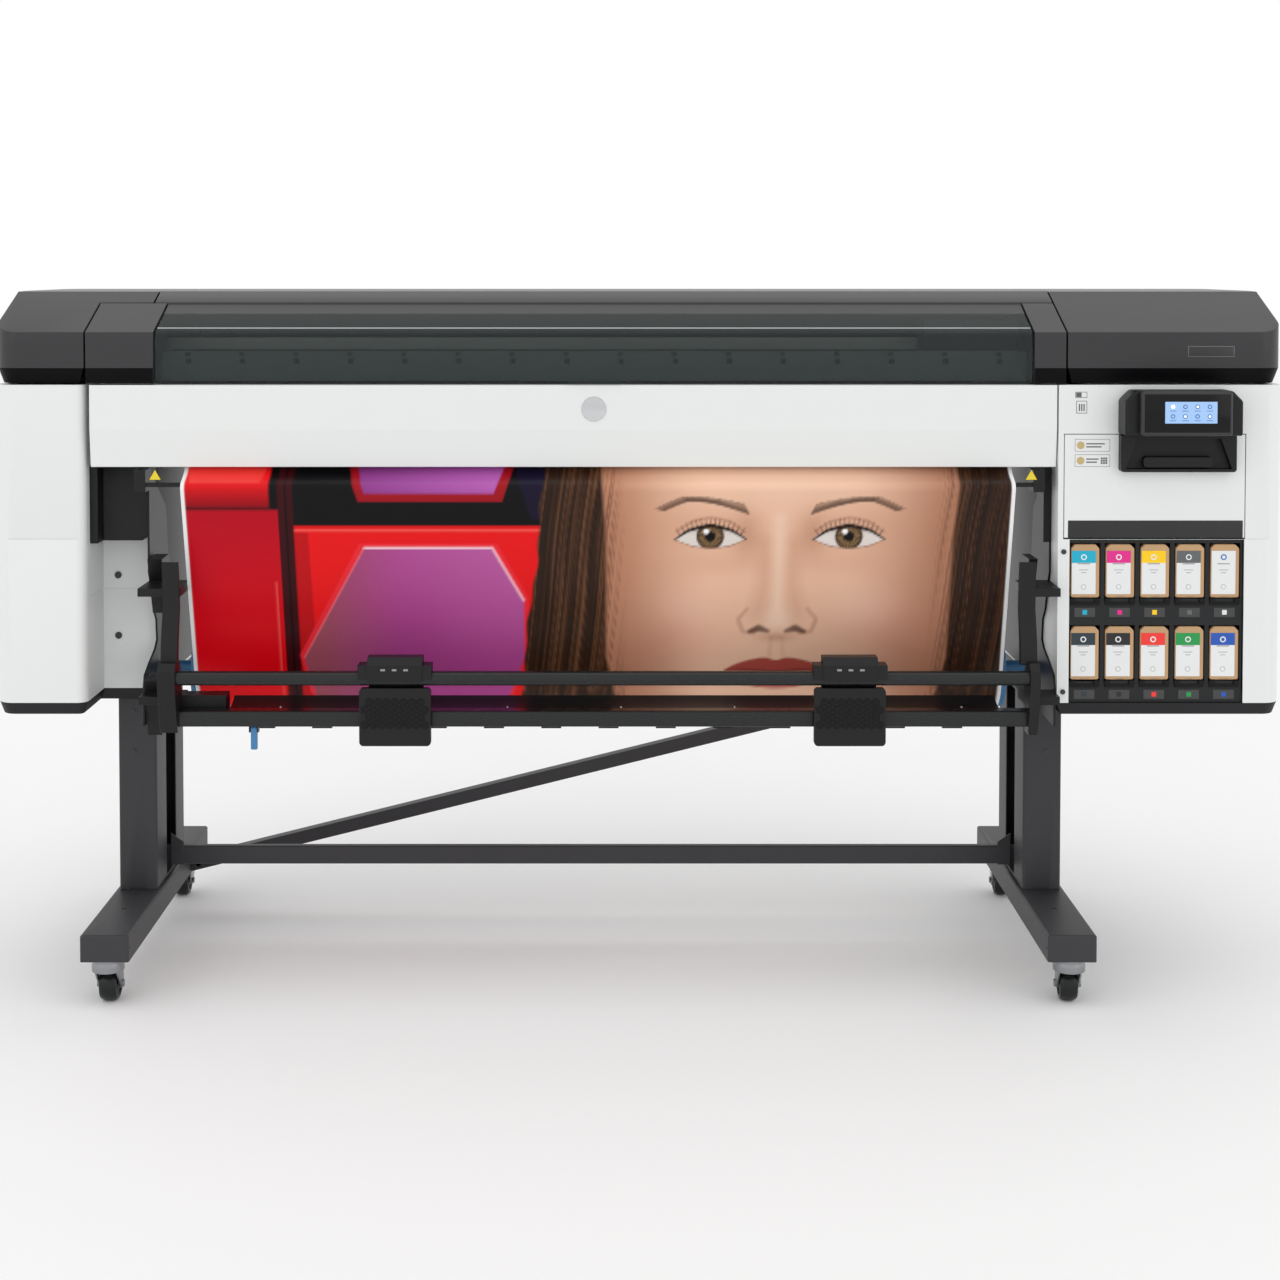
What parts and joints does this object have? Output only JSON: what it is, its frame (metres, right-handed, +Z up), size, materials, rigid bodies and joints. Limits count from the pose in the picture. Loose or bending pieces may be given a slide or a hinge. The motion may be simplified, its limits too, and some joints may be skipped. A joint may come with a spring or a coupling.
{
  "type": "roll printer cutter",
  "caption": "Wide roll-fed inkjet printer with built-in cutter on a castor stand, with window, ink bay, tilting display, service door, media roll and rest blocks.",
  "frame": {"origin": "on the floor under the middle of the machine's bounding box", "axes": "+Z up, +X along the machine to its ink end, front face towards -Y"},
  "size_m": [2.524, 0.75, 1.374],
  "materials": {
    "white_casing": "fine moulded texture",
    "dark_cover": "fine brushed grain, satin",
    "black_plastic": "moulded, matt",
    "stand_steel": "powder coated, fine texture",
    "inner_steel": "painted sheet",
    "clear_window": "tinted clear plastic",
    "zinc": "zinc plated",
    "castor_tread": "black tread",
    "aluminium": "drawn",
    "vinyl": "printed satin vinyl",
    "card": "folded card",
    "blue_plastic": "moulded"
  },
  "bodies": {
    "machine": {"foot_left": "stand_steel", "foot_right": "stand_steel", "post_left": "stand_steel", "post_right": "stand_steel", "cross_beam": "stand_steel", "diagonal_brace": "stand_steel", "fasteners": "black_plastic", "main_beam": "inner_steel", "left_pod_shell": "white_casing", "right_pod_shell": "white_casing", "pod_trays": "black_plastic", "ink_bay_frame": "black_plastic", "control_housing": "black_plastic", "left_top_cover": "dark_cover", "right_top_cover": "dark_cover", "rear_top_cover": "dark_cover", "left_inner_cover": "dark_cover", "right_inner_cover": "dark_cover", "front_panel": "white_casing", "back_cover": "white_casing", "platen": "black_plastic", "pinch_covers": "black_plastic", "carriage_rail": "inner_steel", "left_side_plate": "black_plastic", "right_side_plate": "black_plastic", "upper_rod": "aluminium", "lower_beam": "black_plastic", "roll_guide": "black_plastic", "printed_media": "vinyl", "output_rail": "black_plastic"},
    "window": {"window": "clear_window"},
    "service_door": {"service_door": "white_casing", "door_handle": "black_plastic"},
    "display": {"display_module": "black_plastic"},
    "carriage": {"carriage": "black_plastic"},
    "cutter": {"cutter": "black_plastic"},
    "drive_roller": {"drive_roller": "aluminium"},
    "media_roll": {"media_roll": "vinyl", "spindle": "aluminium"},
    "roll_lever": {"roll_lever": "blue_plastic"},
    "rest_block_left": {"rest_block_left": "black_plastic"},
    "rest_block_right": {"rest_block_right": "black_plastic"},
    "ink_cartridge_1": {"ink_cartridge_1": "card"},
    "ink_cartridge_2": {"ink_cartridge_2": "card"},
    "ink_cartridge_3": {"ink_cartridge_3": "card"},
    "ink_cartridge_4": {"ink_cartridge_4": "card"},
    "ink_cartridge_5": {"ink_cartridge_5": "card"},
    "ink_cartridge_6": {"ink_cartridge_6": "card"},
    "ink_cartridge_7": {"ink_cartridge_7": "card"},
    "ink_cartridge_8": {"ink_cartridge_8": "card"},
    "ink_cartridge_9": {"ink_cartridge_9": "card"},
    "ink_cartridge_10": {"ink_cartridge_10": "card"},
    "castor_front_left": {"castor_fork_front_left": "zinc"},
    "wheel_front_left": {"castor_wheel_front_left": "castor_tread"},
    "castor_front_right": {"castor_fork_front_right": "zinc"},
    "wheel_front_right": {"castor_wheel_front_right": "castor_tread"},
    "castor_rear_left": {"castor_fork_rear_left": "zinc"},
    "wheel_rear_left": {"castor_wheel_rear_left": "castor_tread"},
    "castor_rear_right": {"castor_fork_rear_right": "zinc"},
    "wheel_rear_right": {"castor_wheel_rear_right": "castor_tread"}
  },
  "joints": [
    {"name": "window_hinge", "type": "hinge", "parent": "machine", "child": "window", "pos_m": [-0.087, -0.186, 1.3325], "axis": [-1, 0, 0], "range_deg": [0, 70]},
    {"name": "door_hinge", "type": "hinge", "parent": "machine", "child": "service_door", "pos_m": [1.0095, -0.27, 0.8935], "axis": [1, 0, 0], "range_deg": [0, 75]},
    {"name": "display_tilt", "type": "hinge", "parent": "machine", "child": "display", "pos_m": [1.0665, -0.2965, 1.18], "axis": [-1, 0, 0], "range_deg": [0, 40]},
    {"name": "carriage_slide", "type": "slide", "parent": "machine", "child": "carriage", "axis": [-1, 0, 0], "range_m": [0, 1.48]},
    {"name": "cutter_slide", "type": "slide", "parent": "machine", "child": "cutter", "axis": [1, 0, 0], "range_m": [0, 1.63]},
    {"name": "drive_roller_spin", "type": "hinge", "parent": "machine", "child": "drive_roller", "pos_m": [-0.079, -0.146, 1.148], "axis": [1, 0, 0], "continuous": true},
    {"name": "media_roll_spin", "type": "hinge", "parent": "machine", "child": "media_roll", "pos_m": [-0.079, -0.083, 0.6], "axis": [1, 0, 0], "continuous": true},
    {"name": "roll_lever_turn", "type": "hinge", "parent": "machine", "child": "roll_lever", "pos_m": [-0.748, -0.304, 0.525], "axis": [1, 0, 0], "range_deg": [-30, 30]},
    {"name": "rest_block_left_slide", "type": "slide", "parent": "machine", "child": "rest_block_left", "axis": [1, 0, 0], "range_m": [-0.34, 0.35]},
    {"name": "rest_block_right_slide", "type": "slide", "parent": "machine", "child": "rest_block_right", "axis": [1, 0, 0], "range_m": [-0.35, 0.26]},
    {"name": "ink_cartridge_1_slide", "type": "slide", "parent": "machine", "child": "ink_cartridge_1", "axis": [0, -1, 0], "range_m": [0, 0.13]},
    {"name": "ink_cartridge_2_slide", "type": "slide", "parent": "machine", "child": "ink_cartridge_2", "axis": [0, -1, 0], "range_m": [0, 0.13]},
    {"name": "ink_cartridge_3_slide", "type": "slide", "parent": "machine", "child": "ink_cartridge_3", "axis": [0, -1, 0], "range_m": [0, 0.13]},
    {"name": "ink_cartridge_4_slide", "type": "slide", "parent": "machine", "child": "ink_cartridge_4", "axis": [0, -1, 0], "range_m": [0, 0.13]},
    {"name": "ink_cartridge_5_slide", "type": "slide", "parent": "machine", "child": "ink_cartridge_5", "axis": [0, -1, 0], "range_m": [0, 0.13]},
    {"name": "ink_cartridge_6_slide", "type": "slide", "parent": "machine", "child": "ink_cartridge_6", "axis": [0, -1, 0], "range_m": [0, 0.13]},
    {"name": "ink_cartridge_7_slide", "type": "slide", "parent": "machine", "child": "ink_cartridge_7", "axis": [0, -1, 0], "range_m": [0, 0.13]},
    {"name": "ink_cartridge_8_slide", "type": "slide", "parent": "machine", "child": "ink_cartridge_8", "axis": [0, -1, 0], "range_m": [0, 0.13]},
    {"name": "ink_cartridge_9_slide", "type": "slide", "parent": "machine", "child": "ink_cartridge_9", "axis": [0, -1, 0], "range_m": [0, 0.13]},
    {"name": "ink_cartridge_10_slide", "type": "slide", "parent": "machine", "child": "ink_cartridge_10", "axis": [0, -1, 0], "range_m": [0, 0.13]},
    {"name": "swivel_front_left", "type": "hinge", "parent": "machine", "child": "castor_front_left", "pos_m": [-1.026, -0.344, 0.088], "axis": [0, 0, 1], "continuous": true},
    {"name": "roll_front_left", "type": "hinge", "parent": "castor_front_left", "child": "wheel_front_left", "pos_m": [-1.026, -0.324, 0.032], "axis": [1, 0, 0], "continuous": true},
    {"name": "swivel_front_right", "type": "hinge", "parent": "machine", "child": "castor_front_right", "pos_m": [0.832, -0.344, 0.088], "axis": [0, 0, 1], "continuous": true},
    {"name": "roll_front_right", "type": "hinge", "parent": "castor_front_right", "child": "wheel_front_right", "pos_m": [0.83339, -0.32405, 0.032], "axis": [0.9976, -0.0698, 0], "continuous": true},
    {"name": "swivel_rear_left", "type": "hinge", "parent": "machine", "child": "castor_rear_left", "pos_m": [-1.026, 0.344, 0.088], "axis": [0, 0, 1], "continuous": true},
    {"name": "roll_rear_left", "type": "hinge", "parent": "castor_rear_left", "child": "wheel_rear_left", "pos_m": [-1.026, 0.324, 0.032], "axis": [1, 0, 0], "continuous": true},
    {"name": "swivel_rear_right", "type": "hinge", "parent": "machine", "child": "castor_rear_right", "pos_m": [0.832, 0.344, 0.088], "axis": [0, 0, 1], "continuous": true},
    {"name": "roll_rear_right", "type": "hinge", "parent": "castor_rear_right", "child": "wheel_rear_right", "pos_m": [0.83061, 0.32405, 0.032], "axis": [0.9976, -0.0698, 0], "continuous": true}
  ]
}
